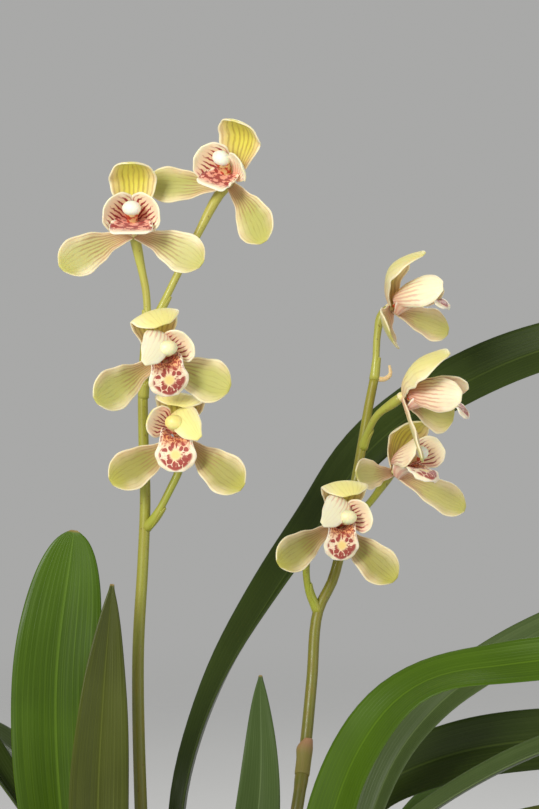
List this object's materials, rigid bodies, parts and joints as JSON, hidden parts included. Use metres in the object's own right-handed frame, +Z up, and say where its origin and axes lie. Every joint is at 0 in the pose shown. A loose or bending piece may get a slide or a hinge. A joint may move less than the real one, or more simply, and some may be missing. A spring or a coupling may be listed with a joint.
{
  "type": "potted flowering orchid",
  "caption": "Cymbidium-type orchid in a plain round tapered pot: arching strap leaves, upright flower spikes with cream-green blooms and red-spotted lips, pseudobulbs in bark mix.",
  "frame": {"origin": "centre of the pot's flat foot, on the surface the pot stands on", "axes": "+Z up, the plant's height; the front, where the blooms face, is -Y; +X is to the right seen from the front"},
  "size_m": [0.3848, 0.3188, 0.415],
  "materials": {
    "pot": "plain unglazed brown clay, matt, faint turning marks",
    "drainage": "broken crocks and clay balls, packed",
    "bark_mix": "damp chipped bark with a little moss",
    "rootstock": "green pseudobulbs with dry straw-coloured sheaths, white fleshy roots",
    "leaf": "smooth strap leaf, satin, parallel veins",
    "stem": "smooth olive-green flower stem, satin, pinkish sheaths",
    "sepal": "yellow-green, cream-pink margins, brown-red veins, soft sheen, slightly translucent",
    "petal": "cream with dark red streaks at the base, soft sheen, slightly translucent",
    "lip": "cream with dark red blotches, soft matt"
  },
  "bodies": {
    "root": {"pot": "pot", "drainage_layer": "drainage", "potting_mix": "bark_mix", "rootstock": "rootstock", "leaf_left_round": "leaf", "leaf_left_pointed": "leaf", "leaf_tall_arch": "leaf", "leaf_centre_short": "leaf", "leaf_bright_arch": "leaf", "leaf_right_grey": "leaf", "leaf_right_dark": "leaf", "leaf_right_low": "leaf", "leaf_right_front": "leaf", "leaf_left_back": "leaf", "leaf_left_front": "leaf", "leaf_front": "leaf", "leaf_back_left": "leaf", "leaf_back": "leaf", "leaf_back_right": "leaf", "scape_left": "stem", "scape_right": "stem", "bloom_left_1_sepals": "sepal", "bloom_left_1_petals": "petal", "bloom_left_1_lip": "lip", "bloom_left_2_sepals": "sepal", "bloom_left_2_petals": "petal", "bloom_left_2_lip": "lip", "bloom_left_3_sepals": "sepal", "bloom_left_3_petals": "petal", "bloom_left_3_lip": "lip", "bloom_left_4_sepals": "sepal", "bloom_left_4_petals": "petal", "bloom_left_4_lip": "lip", "bloom_right_1_sepals": "sepal", "bloom_right_1_petals": "petal", "bloom_right_1_lip": "lip", "bloom_right_2_sepals": "sepal", "bloom_right_2_petals": "petal", "bloom_right_2_lip": "lip", "bloom_right_3_sepals": "sepal", "bloom_right_3_petals": "petal", "bloom_right_3_lip": "lip", "bloom_right_4_sepals": "sepal", "bloom_right_4_petals": "petal", "bloom_right_4_lip": "lip"}
  },
  "joints": []
}
